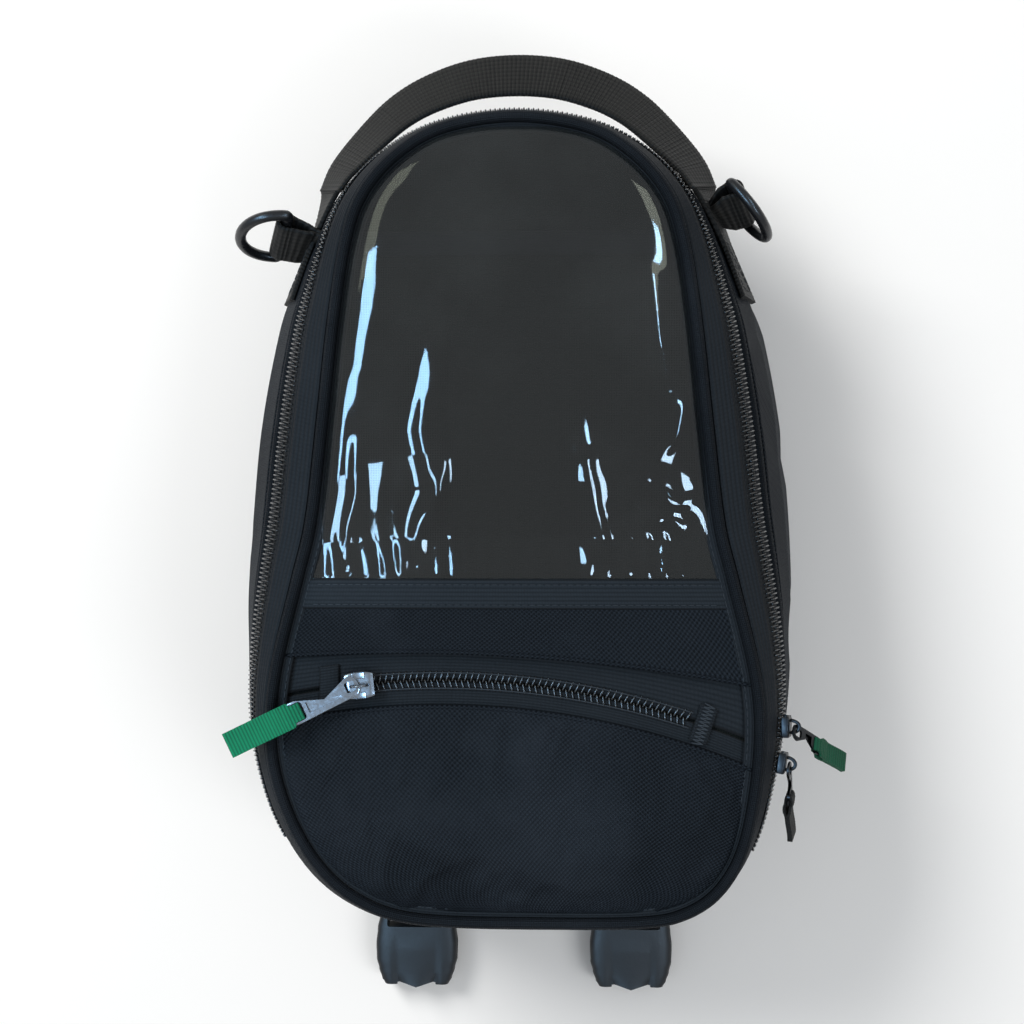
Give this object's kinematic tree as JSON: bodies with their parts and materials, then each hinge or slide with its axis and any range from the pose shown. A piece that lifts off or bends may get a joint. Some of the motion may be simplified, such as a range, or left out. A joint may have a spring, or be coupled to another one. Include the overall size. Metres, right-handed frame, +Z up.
{
  "type": "motorcycle tank bag",
  "caption": "Strap-on motorcycle tank bag with a hinged zip lid, a clear map window, a zipped front pocket, a webbing carry handle, D-rings and side-release buckle sockets.",
  "frame": {"origin": "middle of the underside of the grip base, on the surface that the bag lies on", "axes": "+Z up out of the lid, +Y towards the carry-handle end, +X to the right of someone reading the window"},
  "size_m": [0.2515, 0.4052, 0.1128],
  "materials": {
    "shell_cloth": "black twill shell cloth with a blue cast, satin sheen",
    "lining_cloth": "dark grey lining cloth, matt",
    "grip_rubber": "black textured grip rubber, matt",
    "board_plastic": "dark stiffener board",
    "foam_grey": "grey foam",
    "rib_tape": "black ribbed tape",
    "coil_plastic": "black nylon coil, satin",
    "clear_sheet": "clear flexible sheet, glossy",
    "strap_black": "black ribbed webbing",
    "strap_green": "green ribbed webbing",
    "hard_plastic": "black moulded plastic, satin",
    "bright_metal": "plated zip metal",
    "dark_metal": "black painted zip metal"
  },
  "bodies": {
    "tub": {"grip_base": "grip_rubber", "base_board": "board_plastic", "tub_gusset": "shell_cloth", "side_foam": "foam_grey", "tub_lining": "lining_cloth", "tub_piping": "shell_cloth", "lower_zip_tape": "rib_tape", "lower_zip_coil": "coil_plastic", "lid_hinge_cloth": "shell_cloth", "handle_patch_left": "strap_black", "handle_patch_right": "strap_black", "ring_chape_left": "strap_black", "ring_chape_right": "strap_black", "buckle_strap_left": "strap_black", "buckle_strap_right": "strap_black"},
    "lid": {"lid_piping": "shell_cloth", "lid_gusset": "rib_tape", "lid_back": "lining_cloth", "lid_foam": "foam_grey", "lid_lining": "lining_cloth", "upper_zip_tape": "rib_tape", "upper_zip_coil": "coil_plastic", "window_sheet": "clear_sheet", "window_band": "rib_tape", "inner_tape": "rib_tape", "front_strip": "shell_cloth", "pocket_tape_upper": "rib_tape", "pocket_tape_lower": "rib_tape", "pocket_coil_upper": "coil_plastic", "pocket_coil_lower": "coil_plastic", "pocket_panel": "shell_cloth", "pocket_end_left": "rib_tape", "pocket_end_right": "rib_tape"},
    "handle": {"carry_handle": "strap_black"},
    "ring_left": {"d_ring_left": "hard_plastic"},
    "ring_right": {"d_ring_right": "hard_plastic"},
    "socket_left": {"buckle_left": "hard_plastic"},
    "socket_right": {"buckle_right": "hard_plastic"},
    "pocket_slider": {"pocket_slider": "bright_metal"},
    "pocket_pull": {"pocket_slider_pull": "bright_metal", "pocket_slider_strap": "strap_green"},
    "main_slider_a": {"main_slider_a": "dark_metal"},
    "main_pull_a": {"main_slider_a_pull": "dark_metal", "main_slider_a_strap": "strap_green"},
    "main_slider_b": {"main_slider_b": "dark_metal"},
    "main_pull_b": {"main_slider_b_pull": "dark_metal", "main_slider_b_strap": "strap_black"}
  },
  "joints": [
    {"name": "lid_hinge", "type": "hinge", "parent": "tub", "child": "lid", "pos_m": [0, -0.16, 0.095], "axis": [1, 0, 0], "range_deg": [0, 105], "deforming": ["lid_hinge_cloth"]},
    {"name": "handle_swing", "type": "hinge", "parent": "tub", "child": "handle", "pos_m": [0, 0.144, 0.096], "axis": [1, 0, 0], "range_deg": [-8, 100]},
    {"name": "ring_left_swing", "type": "hinge", "parent": "tub", "child": "ring_left", "pos_m": [-0.0965, 0.11695, 0.07886], "axis": [0.299, 0.3986, 0.867], "range_deg": [-40, 40]},
    {"name": "ring_right_swing", "type": "hinge", "parent": "tub", "child": "ring_right", "pos_m": [0.09063, 0.12938, 0.07827], "axis": [-0.299, 0.3986, 0.867], "range_deg": [-10, 60]},
    {"name": "socket_left_swing", "type": "hinge", "parent": "tub", "child": "socket_left", "pos_m": [-0.0485, -0.1778, 0.007], "axis": [-1, 0, 0], "range_deg": [0, 80]},
    {"name": "socket_right_swing", "type": "hinge", "parent": "tub", "child": "socket_right", "pos_m": [0.0485, -0.1778, 0.007], "axis": [-1, 0, 0], "range_deg": [0, 80]},
    {"name": "pocket_zip_travel", "type": "hinge", "parent": "lid", "child": "pocket_slider", "pos_m": [-0.028, -0.384, 0.1025], "axis": [0, 0, -1], "range_deg": [0, 22.2]},
    {"name": "pocket_pull_lift", "type": "hinge", "parent": "pocket_slider", "child": "pocket_pull", "pos_m": [-0.06443, -0.06606, 0.10854], "axis": [-0.1031, 0.9947, 0], "range_deg": [0, 11]},
    {"name": "main_zip_travel_a", "type": "slide", "parent": "lid", "child": "main_slider_a", "axis": [0, 1, 0], "range_m": [0, 0.04]},
    {"name": "main_pull_a_lift", "type": "hinge", "parent": "main_slider_a", "child": "main_pull_a", "pos_m": [0.11222, -0.08464, 0.09801], "axis": [-0.1469, -0.8527, 0.5013], "range_deg": [0, 20]},
    {"name": "main_zip_travel_b", "type": "slide", "parent": "lid", "child": "main_slider_b", "axis": [0.1816, 0.9834, 0], "range_m": [-0.008, 0.004]},
    {"name": "main_pull_b_lift", "type": "hinge", "parent": "main_slider_b", "child": "main_pull_b", "pos_m": [0.10934, -0.09715, 0.09726], "axis": [-0.2213, 0.0409, 0.9743], "range_deg": [0, 60]}
  ]
}
